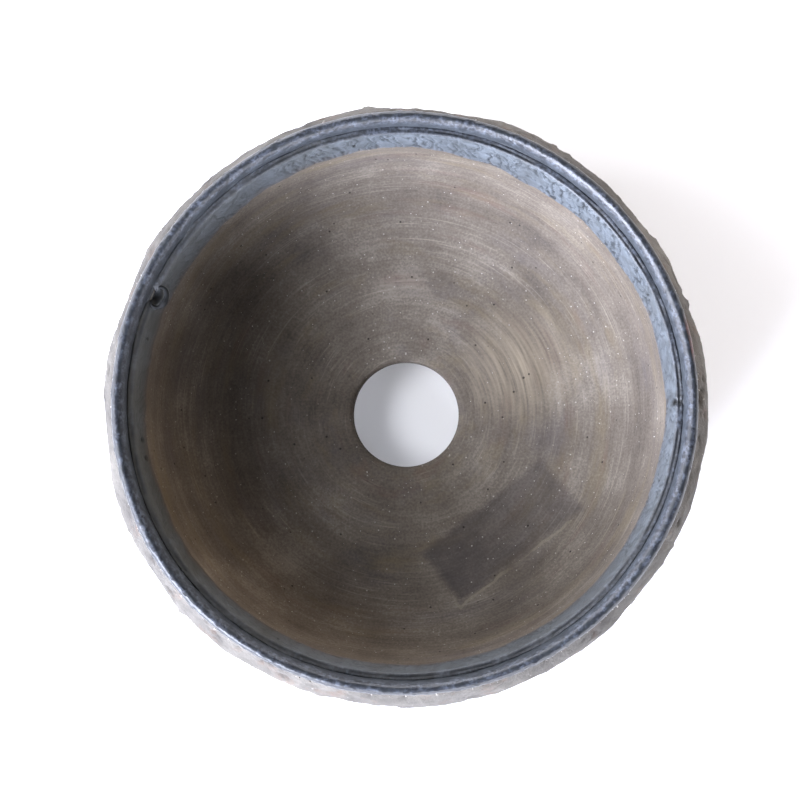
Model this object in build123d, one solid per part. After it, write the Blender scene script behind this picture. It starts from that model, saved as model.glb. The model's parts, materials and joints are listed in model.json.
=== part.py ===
from build123d import *
from math import degrees
import os

# A small round hand-thrown bonsai pot: a full-bellied stoneware bowl with a coil for a lip, a glaze coat
# over the lip and the top of the inner wall, one drain hole, and three feet. Millimetres, +Z up. The
# origin is the point on the table under the middle of the pot.

# Overall sizes
potHeight = 66.0         # table to the top of the clay lip
bellyRadius = 77.5       # widest, outside
footHeight = 8.0         # how far the feet lift the underside off the table

# Clay body
bellyDrop = 15.0         # from the lip's top down to the belly
shoulderInset = 5.0      # how far the wall's top stands in from the belly, outside
wallTopThickness = 5.0   # the wall's top edge, which the lip stands on
wallTopRound = 1.2       # softened inner corner of that edge
wallThickness = 10.5     # at the belly
floorThickness = 8.0
floorRadius = 38.0       # where the floor starts to turn up into the wall
baseRadius = 47.0        # edge of the flat underside
drainRadius = 14.5
drainFall = 1.0          # the floor's fall from its edge to the drain hole
drainRound = 1.5         # softened edges of the drain hole

# Coil lip
lipSectionRadius = 2.0   # the coil's round section
lipPress = 0.6           # how much of that section is flattened where the coil is pressed on

# Glaze coat
glazeThickness = 0.45
glazeInsideDrop = 13.0   # from the lip's top down to the lower edge of the band inside
glazeOutsideDrop = 3.6   # from the lip's top down to the edge outside

# Feet
footCount = 3
footInset = 6.0          # from the edge of the underside in to the foot
footLength = 27.0        # along the circle that the feet stand on
footWidth = 11.0         # across it
footDraft = 8.0          # degrees that a foot's sides draw in towards the table
footRound = 1.5          # softened edge on the table
firstFootAngle = 90.0    # degrees from +X

# Heights and radii that follow from the sizes above
underside = footHeight
floorHeight = underside + floorThickness
bellyHeight = potHeight - bellyDrop
wallTop = potHeight - 2 * lipSectionRadius + lipPress
lipHeight = potHeight - lipSectionRadius
wallTopOuter = bellyRadius - shoulderInset
wallTopInner = wallTopOuter - wallTopThickness
bellyInner = bellyRadius - wallThickness
lipRadius = wallTopOuter - lipSectionRadius
footCircle = baseRadius - footInset - footWidth / 2


def quarterEllipse(startRadius, endRadius, low, high):
    """Rises from level at (startRadius, low) to upright at (endRadius, high)."""
    return EllipticalCenterArc(
        (startRadius, high), endRadius - startRadius, high - low, start_angle=270, arc_size=90
    )


def bowlSection():
    """Half of the wall and floor, cut through the axis: up the outside and down the inside."""
    with BuildSketch(Plane.XZ) as section:
        with BuildLine():
            Line((drainRadius, underside), (baseRadius, underside))
            quarterEllipse(baseRadius, bellyRadius, underside, bellyHeight)
            TangentArc((bellyRadius, bellyHeight), (wallTopOuter, wallTop), tangent=(0, 1))
            Line((wallTopOuter, wallTop), (wallTopInner, wallTop))
            TangentArc((bellyInner, bellyHeight), (wallTopInner, wallTop), tangent=(0, 1))
            quarterEllipse(floorRadius, bellyInner, floorHeight, bellyHeight)
            Line((floorRadius, floorHeight), (drainRadius, floorHeight - drainFall))
            Line((drainRadius, floorHeight - drainFall), (drainRadius, underside))
        make_face()
        corners = section.vertices()
        fillet(corners.sort_by_distance((wallTopInner, 0, wallTop))[0], wallTopRound)
        fillet(corners.sort_by_distance((drainRadius, 0, floorHeight - drainFall))[0], drainRound)
        fillet(corners.sort_by_distance((drainRadius, 0, underside))[0], drainRound)
    return section.sketch


def lipSection():
    """The coil's round section, flattened underneath where it sits on the wall."""
    with BuildSketch(Plane.XZ) as section:
        with Locations((lipRadius, lipHeight)):
            Circle(lipSectionRadius)
        with Locations((lipRadius, wallTop)):
            Rectangle(
                4 * lipSectionRadius,
                lipSectionRadius,
                align=(Align.CENTER, Align.MAX),
                mode=Mode.SUBTRACT,
            )
    return section.sketch


def glazeSection(clay):
    """What lies within one glaze thickness of the clay, down to the coat's two lower edges."""
    with BuildSketch(Plane.XZ) as reach:
        with Locations((lipRadius, potHeight - glazeInsideDrop)):
            Rectangle(bellyRadius, potHeight, align=(Align.MAX, Align.MIN))
        with Locations((lipRadius, potHeight - glazeOutsideDrop)):
            Rectangle(bellyRadius, potHeight, align=(Align.MIN, Align.MIN))
    return (offset(clay, glazeThickness) & reach.sketch) - clay


def foot():
    """A bent, round-ended pad under the floor, its middle on +X, narrower where it meets the table."""
    halfAngle = degrees((footLength - footWidth) / 2 / footCircle)
    with BuildPart() as pad:
        with BuildSketch(Plane.XY.offset(underside)):
            SlotArc(CenterArc((0, 0), footCircle, -halfAngle, 2 * halfAngle), footWidth)
        extrude(amount=-footHeight, taper=footDraft)
        fillet(pad.faces().sort_by(Axis.Z)[0].edges(), footRound)
    return pad.part


def writePart(name, solid):
    export_step(solid, f"parts/{name}.step")


os.makedirs("parts", exist_ok=True)

bowl = bowlSection()
lip = lipSection()
writePart("pot_body", revolve(bowl, Axis.Z))
writePart("lip_ring", revolve(lip, Axis.Z))
writePart("rim_glaze", revolve(glazeSection(bowl + lip), Axis.Z))
for number in range(footCount):
    turn = firstFootAngle + number * 360 / footCount
    writePart(f"foot_{number + 1}", Rot(0, 0, turn) * foot())
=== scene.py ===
import json
import math

import bmesh
import bpy
import numpy as np
from mathutils import Matrix, Vector


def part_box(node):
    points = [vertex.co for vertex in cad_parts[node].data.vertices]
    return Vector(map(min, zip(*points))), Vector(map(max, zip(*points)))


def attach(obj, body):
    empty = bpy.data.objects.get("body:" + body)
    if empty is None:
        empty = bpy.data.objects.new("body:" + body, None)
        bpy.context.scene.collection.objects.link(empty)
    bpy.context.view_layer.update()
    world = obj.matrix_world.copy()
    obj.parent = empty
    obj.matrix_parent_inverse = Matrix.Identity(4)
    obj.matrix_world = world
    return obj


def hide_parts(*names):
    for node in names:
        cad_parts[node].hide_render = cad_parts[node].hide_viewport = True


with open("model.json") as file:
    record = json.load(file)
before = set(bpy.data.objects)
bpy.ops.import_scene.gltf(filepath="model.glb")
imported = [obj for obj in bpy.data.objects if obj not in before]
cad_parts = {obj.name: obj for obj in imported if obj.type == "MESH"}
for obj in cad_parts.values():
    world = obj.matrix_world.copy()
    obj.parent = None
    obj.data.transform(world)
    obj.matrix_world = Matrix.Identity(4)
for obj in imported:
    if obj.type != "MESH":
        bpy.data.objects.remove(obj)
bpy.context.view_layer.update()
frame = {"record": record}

# A small hand-thrown bonsai pot: bare stoneware bowl, carved outside, with a blue-black glazed lip.
# Everything is in metres, in the frame of the CAD model.
mm = 0.001
degree = math.pi / 180

bodyLow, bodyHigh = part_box("pot_body")
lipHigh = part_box("lip_ring")[1]
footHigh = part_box("foot_1")[1]
drain = next(m for m in frame["record"]["mounts"] if m["name"] == "drain_hole")

# The clay section, as the potter's template would give it.
bowl = {
    "underside": bodyLow.z,
    "wallTop": bodyHigh.z,
    "bellyRadius": bodyHigh.x,
    "bellyHeight": 51 * mm,
    "baseRadius": 47 * mm,
    "topOuter": lipHigh.x,
    "topInner": lipHigh.x - 4.2 * mm,
    "bellyInner": bodyHigh.x - 10.5 * mm,
    "floorRadius": 38 * mm,
    "floorHeight": 16 * mm,
    "drainRadius": drain["dims"]["r_mm"] * mm,
    "drainTop": bodyLow.z + drain["dims"]["length_mm"] * mm,
    "columns": 464,
    # rows of faces along each stretch of the section
    "rows": {
        "under": 16, "side": 62, "shoulder": 24, "top": 8,
        "upper": 16, "inner": 56, "floor": 20, "drain": 8,
    },
}


def lumps(points, size, seed):
    # Random heights at the corners of cubes of this size, blended across each cube by a smoothstep.
    heights = np.random.default_rng(seed).uniform(-1, 1, (64, 64, 64))
    place = points / size
    corner = np.floor(place).astype(int)
    part = place - corner
    part = part * part * (3 - 2 * part)
    total = 0
    for side in np.ndindex(2, 2, 2):
        share = np.prod(np.where(side, part, 1 - part), axis=-1)
        cell = (corner + side) % 64
        total = total + share * heights[cell[..., 0], cell[..., 1], cell[..., 2]]
    return total


def cloud(points, size, seed, octaves=3):
    # Lumps added to lumps of half the size and half the height, and so on.
    return sum(lumps(points, size / 2**k, seed + k) / 2**k for k in range(octaves))


def step(low, high, value):
    # 0 below low, 1 above high and a smooth rise between them; low may be the larger.
    t = np.clip((value - low) / (high - low), 0, 1)
    return t * t * (3 - 2 * t)


def bell(value, middle, width):
    # 1 at the middle, falling off on both sides as a Gaussian.
    return np.exp(-(((value - middle) / width) ** 2))


def turned(angle, middle):
    # The shortest turn from middle to angle, in degrees.
    return (angle - middle + 180) % 360 - 180


def line(a, b, count):
    # Evenly spaced points from a up to, but not at, b.
    t = np.linspace(0, 1, count, endpoint=False)[:, None]
    return np.array(a) * (1 - t) + np.array(b) * t


def arc(centre, radii, start, end, count):
    # Points of an ellipse from start degrees up to, but not at, end degrees.
    t = np.linspace(start, end, count, endpoint=False) * degree
    return np.stack((centre[0] + radii[0] * np.cos(t), centre[1] + radii[1] * np.sin(t)), 1)


def softened(curve, passes, closed=True):
    # Each point moves halfway to the middle of its two neighbours, again and again.
    for _ in range(passes):
        before, after = np.roll(curve, 1, 0), np.roll(curve, -1, 0)
        moved = curve / 2 + (before + after) / 4
        if not closed:
            moved[0], moved[-1] = curve[0], curve[-1]
        curve = moved
    return curve


def turnedSurface(radius, height, columns):
    # Carries a section of radius and height round the axis: rows go along the section, columns round it.
    theta = np.arange(columns) * 2 * math.pi / columns
    radius = np.broadcast_to(radius if radius.ndim == 2 else radius[:, None], (len(radius), columns))
    height = np.broadcast_to(height if height.ndim == 2 else height[:, None], radius.shape)
    return np.stack((radius * np.cos(theta), radius * np.sin(theta), height), -1)


def normalsOf(grid):
    # Cross product of the way round and the way along, both as differences across two cells.
    across = np.roll(grid, -1, 1) - np.roll(grid, 1, 1)
    along = np.roll(grid, -1, 0) - np.roll(grid, 1, 0)
    normal = np.cross(across, along)
    return normal / np.maximum(np.linalg.norm(normal, axis=-1, keepdims=True), 1e-12)


def outOfRound(points):
    # Thrown clay is never round: the radius swells and shrinks two, three and five times round the pot,
    # fully at the belly and not at all on the axis, and the rim rises and falls a little.
    theta = np.arctan2(points[..., 1], points[..., 0])
    reach = np.hypot(points[..., 0], points[..., 1]) / bowl["bellyRadius"]
    swell = 0.14 * np.cos(2 * theta - 0.2) + 0.10 * np.cos(3 * theta + 1.1) + 0.07 * np.cos(5 * theta - 0.6)
    rise = 0.22 * np.cos(theta - 2.2) + 0.15 * np.cos(3 * theta + 0.4)
    lift = np.clip(points[..., 2] / bowl["wallTop"], 0, 1) ** 4
    moved = points.copy()
    moved[..., :2] *= (1 + swell * mm * reach / bowl["bellyRadius"])[..., None]
    moved[..., 2] += rise * mm * lift
    return moved


def makePiece(name, points, faces, materials, slots=None, values=None):
    # Puts arrays of points and faces, all with as many corners, into a mesh of its own.
    mesh = bpy.data.meshes.new(name)
    points = points.reshape(-1, 3)
    corners = faces.shape[1]
    mesh.vertices.add(len(points))
    mesh.vertices.foreach_set("co", points.astype(np.float32).ravel())
    mesh.loops.add(faces.size)
    mesh.loops.foreach_set("vertex_index", faces.astype(np.int32).ravel())
    mesh.polygons.add(len(faces))
    mesh.polygons.foreach_set("loop_start", np.arange(len(faces), dtype=np.int32) * corners)
    mesh.polygons.foreach_set("use_smooth", np.ones(len(faces), bool))
    for material in materials:
        mesh.materials.append(material)
    if slots is not None:
        mesh.polygons.foreach_set("material_index", slots.astype(np.int32).ravel())
    mesh.update(calc_edges=True)
    mesh.validate()
    for key, value in (values or {}).items():
        attribute = mesh.attributes.new(key, "FLOAT", "POINT")
        attribute.data.foreach_set("value", value.astype(np.float32).ravel())
    piece = bpy.data.objects.new(name, mesh)
    bpy.context.scene.collection.objects.link(piece)
    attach(piece, "root")
    print("made", name, len(points), "points", len(faces), "faces")
    return piece


def mergeClose(piece):
    # Closes the poles, where a whole ring of points lies on one line or point, and turns faces outward.
    shape = bmesh.new()
    shape.from_mesh(piece.data)
    bmesh.ops.remove_doubles(shape, verts=shape.verts, dist=0.01 * mm)
    bmesh.ops.recalc_face_normals(shape, faces=shape.faces)
    shape.to_mesh(piece.data)
    shape.free()


def ringFaces(rows, columns):
    # Four-cornered faces over a grid that closes both along its rows and round its columns.
    i, j = np.meshgrid(np.arange(rows), np.arange(columns), indexing="ij")
    along, around = (i + 1) % rows, (j + 1) % columns
    here, beyond = i * columns, along * columns
    return np.stack((here + j, here + around, beyond + around, beyond + j), -1)


def linear(code):
    # A colour written as in a paint program, turned to the light values that shaders use.
    parts = [int(code[k : k + 2], 16) / 255 for k in (1, 3, 5)]
    return (*[c / 12.92 if c <= 0.04045 else ((c + 0.055) / 1.055) ** 2.4 for c in parts], 1)


def addNode(tree, kind, inputs=None, stops=None, **settings):
    # Adds a node, sets it up, and fills its sockets: a node given as a value is linked by its first
    # output in use. Stops are places and colours on a ramp.
    made = tree.nodes.new(kind)
    for key, value in settings.items():
        setattr(made, key, value)
    for key, value in (inputs or {}).items():
        if isinstance(value, bpy.types.Node):
            value = next(socket for socket in value.outputs if socket.enabled)
        if isinstance(value, bpy.types.NodeSocket):
            tree.links.new(value, made.inputs[key])
        else:
            made.inputs[key].default_value = value
    for k, (place, colour) in enumerate(stops or []):
        stop = made.color_ramp.elements[k] if k < 2 else made.color_ramp.elements.new(place)
        stop.position = place
        stop.color = linear(colour) if isinstance(colour, str) else (colour, colour, colour, 1)
    return made


def newMaterial(name):
    # A Principled shader and an output on a tree that is otherwise empty.
    material = bpy.data.materials.new(name)
    material.use_nodes = True
    tree = material.node_tree
    tree.nodes.clear()
    output = addNode(tree, "ShaderNodeOutputMaterial")
    shader = addNode(tree, "ShaderNodeBsdfPrincipled")
    tree.links.new(shader.outputs["BSDF"], output.inputs["Surface"])
    return material, tree, shader


# Thrown stoneware: dark grogged clay, wiped inside with a wet sponge and fired bare. It is dry and
# chalky, with fine streaks along the throwing rings, pale grit showing through, and pinholes.
thrownClay = {
    "colours": ((0.0, "#48413a"), (0.36, "#5a5249"), (0.62, "#655d53"), (1.0, "#7b7369")),
    "streakWidth": 0.8 * mm,
    "arcWidth": 7 * mm,
    "patchSize": 24 * mm,
    # colour, width across the rings, noise from and to, strength: uneven reduction in the kiln
    "stains": (
        ("#6c5f45", 6 * mm, 0.52, 0.72, 0.42),
        ("#5a433b", 5 * mm, 0.56, 0.74, 0.42),
        ("#504b4e", 9 * mm, 0.52, 0.74, 0.40),
    ),
    # a place rubbed paler by the sponge
    "rubbed": {
        "middle": (30 * mm, 13 * mm, 16 * mm), "reach": 19 * mm,
        "colour": "#a1947f", "strength": 0.75,
    },
    "scratchWidth": 0.42 * mm,
    "scratchColour": "#978e81",
    "gritSize": 1.5 * mm,
    "gritColour": "#a09a91",
    "pinholeSize": 5.0 * mm,
    "pinholeShade": "#1a1613",
    "label": {
        "middle": (26.1 * mm, -32.0 * mm), "size": (42.5 * mm, 18.2 * mm), "turn": 37.8 * degree,
        "colour": "#332f32", "strength": 0.72, "line": "#857d6c",
    },
}


def ringNoise(tree, width, roundTurns, detail, roughness):
    # Four-dimensional noise of the distance from the axis, the height and the direction: it changes
    # fast up the wall and across the floor, and slowly round the pot.
    place = addNode(tree, "ShaderNodeTexCoord").outputs["Object"]
    x, y, z = addNode(tree, "ShaderNodeSeparateXYZ", {0: place}).outputs
    flat = addNode(tree, "ShaderNodeCombineXYZ", {0: x, 1: y})
    radius = addNode(tree, "ShaderNodeVectorMath", {0: flat}, operation="LENGTH")
    radius = addNode(tree, "ShaderNodeMath", {0: radius, 1: width}, operation="DIVIDE")
    height = addNode(tree, "ShaderNodeMath", {0: z, 1: width}, operation="DIVIDE")
    way = addNode(tree, "ShaderNodeVectorMath", {0: flat}, operation="NORMALIZE")
    way = addNode(tree, "ShaderNodeVectorMath", {0: way, "Scale": roundTurns}, operation="SCALE")
    a, b, _ = addNode(tree, "ShaderNodeSeparateXYZ", {0: way}).outputs
    at = addNode(tree, "ShaderNodeCombineXYZ", {0: radius, 1: height, 2: a})
    inputs = {"Vector": at, "W": b, "Scale": 1.0, "Detail": detail, "Roughness": roughness}
    return addNode(tree, "ShaderNodeTexNoise", inputs, noise_dimensions="4D")


def makeThrownClay():
    d = thrownClay
    material, tree, shader = newMaterial("thrownStoneware")
    place = addNode(tree, "ShaderNodeTexCoord").outputs["Object"]

    # dark and pale clay, in streaks and arcs along the rings, over soft patches
    streaks = ringNoise(tree, d["streakWidth"], 2.2, 2.0, 0.5)
    arcs = ringNoise(tree, d["arcWidth"], 1.5, 4.0, 0.6)
    inputs = {"Vector": place, "Scale": 1 / d["patchSize"], "Detail": 5.0, "Roughness": 0.6}
    patches = addNode(tree, "ShaderNodeTexNoise", inputs)
    grain = addNode(tree, "ShaderNodeTexNoise", {"Vector": place, "Scale": 1 / (0.6 * mm), "Detail": 2.0})
    tone = addNode(tree, "ShaderNodeMath", {0: arcs, 1: 0.50, 2: patches}, operation="MULTIPLY_ADD")
    tone = addNode(tree, "ShaderNodeMath", {0: streaks, 1: 0.26, 2: tone}, operation="MULTIPLY_ADD")
    tone = addNode(tree, "ShaderNodeMath", {0: grain, 1: 0.50, 2: tone}, operation="MULTIPLY_ADD")
    tone = addNode(tree, "ShaderNodeMapRange", {0: tone, 1: 0.86, 2: 1.40, 3: 0.0, 4: 1.0})
    colour = addNode(tree, "ShaderNodeValToRGB", {0: tone}, stops=d["colours"])

    # ochre, rust and violet stains that follow the rings
    for stain, width, low, high, strength in d["stains"]:
        noise = ringNoise(tree, width, 1.6 + width / (20 * mm), 5.0, 0.65)
        share = addNode(tree, "ShaderNodeMapRange", {0: noise, 1: low, 2: high, 3: 0.0, 4: strength})
        colour = addNode(tree, "ShaderNodeMix", {0: share, 6: colour, 7: linear(stain)}, data_type="RGBA")

    rubbed = d["rubbed"]
    away = addNode(tree, "ShaderNodeVectorMath", {0: place, 1: rubbed["middle"]}, operation="DISTANCE")
    inputs = {0: away, 1: rubbed["reach"], 2: 0.0, 3: 0.0, 4: rubbed["strength"]}
    near = addNode(tree, "ShaderNodeMapRange", inputs)
    wiped = addNode(tree, "ShaderNodeMapRange", {0: streaks, 1: 0.30, 2: 0.66, 3: 0.3, 4: 1.0})
    near = addNode(tree, "ShaderNodeMath", {0: near, 1: wiped}, operation="MULTIPLY")
    inputs = {0: near, 6: colour, 7: linear(rubbed["colour"])}
    colour = addNode(tree, "ShaderNodeMix", inputs, data_type="RGBA")

    # scratches of the sponge and of grit dragged under it, in some of the arcs
    scratches = ringNoise(tree, d["scratchWidth"], 3.4, 1.0, 0.5)
    scratches = addNode(tree, "ShaderNodeMapRange", {0: scratches, 1: 0.58, 2: 0.72, 3: 0.0, 4: 0.34})
    worn = addNode(tree, "ShaderNodeMapRange", {0: arcs, 1: 0.44, 2: 0.62, 3: 0.08, 4: 1.0})
    scratches = addNode(tree, "ShaderNodeMath", {0: scratches, 1: worn}, operation="MULTIPLY")
    inputs = {0: scratches, 6: colour, 7: linear(d["scratchColour"])}
    colour = addNode(tree, "ShaderNodeMix", inputs, data_type="RGBA")

    # the mark of a stuck-on label on the floor: a turned rectangle with soft edges, darker and violet
    label = d["label"]
    across, along = label["size"]
    inputs = {"Vector": place, "Location": (*label["middle"], 0), "Rotation": (0, 0, label["turn"])}
    local = addNode(tree, "ShaderNodeMapping", inputs, vector_type="TEXTURE")
    inputs = {"Vector": place, "Scale": 1 / (4 * mm), "Detail": 4.0}
    wobble = addNode(tree, "ShaderNodeTexNoise", inputs).outputs["Color"]
    wobble = addNode(tree, "ShaderNodeVectorMath", {0: wobble, 1: (0.5, 0.5, 0.5)}, operation="SUBTRACT")
    wobble = addNode(tree, "ShaderNodeVectorMath", {0: wobble, "Scale": 2.2 * mm}, operation="SCALE")
    local = addNode(tree, "ShaderNodeVectorMath", {0: local, 1: wobble}, operation="ADD")
    sideways, upwards, _ = addNode(tree, "ShaderNodeSeparateXYZ", {0: local}).outputs
    a = addNode(tree, "ShaderNodeMath", {0: sideways}, operation="ABSOLUTE")
    a = addNode(tree, "ShaderNodeMath", {0: a, 1: across / 2}, operation="SUBTRACT")
    b = addNode(tree, "ShaderNodeMath", {0: upwards}, operation="ABSOLUTE")
    b = addNode(tree, "ShaderNodeMath", {0: b, 1: along / 2}, operation="SUBTRACT")
    outside = addNode(tree, "ShaderNodeMath", {0: a, 1: b}, operation="MAXIMUM")
    inputs = {0: outside, 1: 0.6 * mm, 2: -1.6 * mm, 3: 0.0, 4: label["strength"]}
    marked = addNode(tree, "ShaderNodeMapRange", inputs)
    inputs = {0: sideways, 1: 0.5 * across, 2: -0.3 * across, 3: 0.7, 4: 1.0}
    faded = addNode(tree, "ShaderNodeMapRange", inputs)
    marked = addNode(tree, "ShaderNodeMath", {0: marked, 1: faded}, operation="MULTIPLY")
    patchy = addNode(tree, "ShaderNodeMapRange", {0: patches, 1: 0.35, 2: 0.60, 3: 1.0, 4: 0.75})
    marked = addNode(tree, "ShaderNodeMath", {0: marked, 1: patchy}, operation="MULTIPLY")
    inputs = {0: marked, 6: colour, 7: linear(label["colour"])}
    colour = addNode(tree, "ShaderNodeMix", inputs, data_type="RGBA")
    # and a broken pale line of old glue along its lower edge
    glue = addNode(tree, "ShaderNodeMath", {0: outside, 1: 0.3 * mm, 2: 0.35 * mm}, operation="COMPARE")
    inputs = {0: upwards, 1: -0.3 * along, 2: -0.5 * along, 3: 0.1, 4: 1.0}
    below = addNode(tree, "ShaderNodeMapRange", inputs)
    broken = addNode(tree, "ShaderNodeMapRange", {0: patches, 1: 0.46, 2: 0.60, 3: 0.0, 4: 0.45})
    glue = addNode(tree, "ShaderNodeMath", {0: glue, 1: below}, operation="MULTIPLY")
    glue = addNode(tree, "ShaderNodeMath", {0: glue, 1: broken}, operation="MULTIPLY")
    inputs = {0: glue, 6: colour, 7: linear(label["line"])}
    colour = addNode(tree, "ShaderNodeMix", inputs, data_type="RGBA")

    # fine pale grit, in clusters, and pinholes darkened with painted shade
    cells = addNode(tree, "ShaderNodeTexVoronoi", {"Vector": place, "Scale": 1 / d["gritSize"]})
    chance = addNode(tree, "ShaderNodeSeparateColor", {0: cells.outputs["Color"]})
    chance = addNode(tree, "ShaderNodeMath", {0: patches, 1: 0.8, 2: chance}, operation="MULTIPLY_ADD")
    reach = addNode(tree, "ShaderNodeMapRange", {0: chance, 1: 0.85, 2: 1.4, 3: 0.0, 4: 0.15})
    speck = addNode(tree, "ShaderNodeMath", {0: cells, 1: reach}, operation="LESS_THAN")
    speck = addNode(tree, "ShaderNodeMath", {0: speck, 1: 0.7}, operation="MULTIPLY")
    inputs = {0: speck, 6: colour, 7: linear(d["gritColour"])}
    colour = addNode(tree, "ShaderNodeMix", inputs, data_type="RGBA")
    cells = addNode(tree, "ShaderNodeTexVoronoi", {"Vector": place, "Scale": 1 / d["pinholeSize"]})
    holes = addNode(tree, "ShaderNodeMapRange", {0: cells, 1: 0.075, 2: 0.045, 3: 0.0, 4: 0.8})
    inputs = {0: holes, 6: colour, 7: linear(d["pinholeShade"])}
    colour = addNode(tree, "ShaderNodeMix", inputs, data_type="RGBA")
    tree.links.new(colour.outputs[2], shader.inputs["Base Color"])

    relief = addNode(tree, "ShaderNodeMath", {0: streaks, 1: 0.6, 2: arcs}, operation="MULTIPLY_ADD")
    relief = addNode(tree, "ShaderNodeMath", {0: grain, 1: 0.5, 2: relief}, operation="MULTIPLY_ADD")
    relief = addNode(tree, "ShaderNodeMath", {0: holes, 1: -2.0, 2: relief}, operation="MULTIPLY_ADD")
    bump = addNode(tree, "ShaderNodeBump", {"Height": relief, "Strength": 0.45, "Distance": 0.14 * mm})
    tree.links.new(bump.outputs[0], shader.inputs["Normal"])
    dryness = addNode(tree, "ShaderNodeMapRange", {0: patches, 1: 0.3, 2: 0.7, 3: 0.8, 4: 0.95})
    tree.links.new(dryness.outputs[0], shader.inputs["Roughness"])
    shader.inputs["IOR"].default_value = 1.5
    shader.inputs["Specular IOR Level"].default_value = 0.3
    return material


# The same clay outside, cut with a wire and a toothed tool while soft: torn and ashy grey, with painted
# shade darkening it down in the cuts, pits and tears, and rust-tan freckles where iron bled through.
carvedClay = {
    "colours": ((0.0, "#35322f"), (0.3, "#46433f"), (0.65, "#504d48"), (1.0, "#5f5b55")),
    "freckle": "#573f31",
    "tearSize": 3.5 * mm,
    "patchSize": 18 * mm,
    "gritSize": 2.3 * mm,
    "gritColour": "#827e77",
}


def makeCarvedClay():
    d = carvedClay
    material, tree, shader = newMaterial("carvedStoneware")
    place = addNode(tree, "ShaderNodeTexCoord").outputs["Object"]
    inputs = {"Vector": place, "Scale": 1 / d["patchSize"], "Detail": 5.0, "Roughness": 0.6}
    patches = addNode(tree, "ShaderNodeTexNoise", inputs)
    inputs = {"Vector": place, "Scale": 1 / d["tearSize"], "Detail": 5.0, "Roughness": 0.7}
    tears = addNode(tree, "ShaderNodeTexNoise", inputs)
    # painted shade: the clay is darker the deeper a point lies in the cuts, pits and tears
    depth = addNode(tree, "ShaderNodeAttribute", attribute_name="recessShade").outputs["Fac"]
    tone = addNode(tree, "ShaderNodeMath", {0: tears, 1: 0.7, 2: patches}, operation="MULTIPLY_ADD")
    tone = addNode(tree, "ShaderNodeMath", {0: depth, 1: -0.20, 2: tone}, operation="MULTIPLY_ADD")
    tone = addNode(tree, "ShaderNodeMapRange", {0: tone, 1: 0.55, 2: 1.12, 3: 0.0, 4: 1.0})
    colour = addNode(tree, "ShaderNodeValToRGB", {0: tone}, stops=d["colours"])

    # iron freckles, then pale grit
    inputs = {"Vector": place, "Scale": 1 / (6 * mm), "Detail": 4.0, "Roughness": 0.65}
    spots = addNode(tree, "ShaderNodeTexNoise", inputs)
    share = addNode(tree, "ShaderNodeMapRange", {0: spots, 1: 0.56, 2: 0.74, 3: 0.0, 4: 0.42})
    inputs = {0: share, 6: colour, 7: linear(d["freckle"])}
    colour = addNode(tree, "ShaderNodeMix", inputs, data_type="RGBA")
    cells = addNode(tree, "ShaderNodeTexVoronoi", {"Vector": place, "Scale": 1 / d["gritSize"]})
    chance = addNode(tree, "ShaderNodeSeparateColor", {0: cells.outputs["Color"]})
    reach = addNode(tree, "ShaderNodeMapRange", {0: chance, 1: 0.5, 2: 1.0, 3: 0.0, 4: 0.13})
    speck = addNode(tree, "ShaderNodeMath", {0: cells, 1: reach}, operation="LESS_THAN")
    inputs = {0: speck, 6: colour, 7: linear(d["gritColour"])}
    colour = addNode(tree, "ShaderNodeMix", inputs, data_type="RGBA")
    tree.links.new(colour.outputs[2], shader.inputs["Base Color"])

    grain = addNode(tree, "ShaderNodeTexNoise", {"Vector": place, "Scale": 1 / (0.6 * mm), "Detail": 3.0})
    relief = addNode(tree, "ShaderNodeMath", {0: tears, 1: 2.0, 2: grain}, operation="MULTIPLY_ADD")
    bump = addNode(tree, "ShaderNodeBump", {"Height": relief, "Strength": 0.8, "Distance": 0.25 * mm})
    tree.links.new(bump.outputs[0], shader.inputs["Normal"])
    shader.inputs["Roughness"].default_value = 0.9
    shader.inputs["Specular IOR Level"].default_value = 0.35
    return material


# Iron and cobalt stoneware glaze, brushed over the lip and fired in reduction: satin blue-black where
# it is thick, grey-blue and matt where it wrinkled on the wall, olive where the clay shows through, and
# brown where it runs thin on an edge. On the band's shaded side the olive is partly painted shade, and
# the black in the folds, grooves, pits and the burst bubble is painted shade.
rimGlaze = {
    "thick": "#15171c",
    "crest": "#454a53",
    "wrinkled": "#474c50",
    "pale": "#5b6167",
    "olive": "#34332e",
    # painted shade in the band's folds, and real dark marks on the lip
    "foldShadeAndMarks": "#1b1e21",
    # painted shade in the grooves, pits and the burst bubble
    "hollowShade": "#070809",
    "thin": "#4a4039",
    "rust": "#5a2f22",
    "mottleSize": 2.6 * mm,
    "fleckSize": 0.8 * mm,
}


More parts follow.
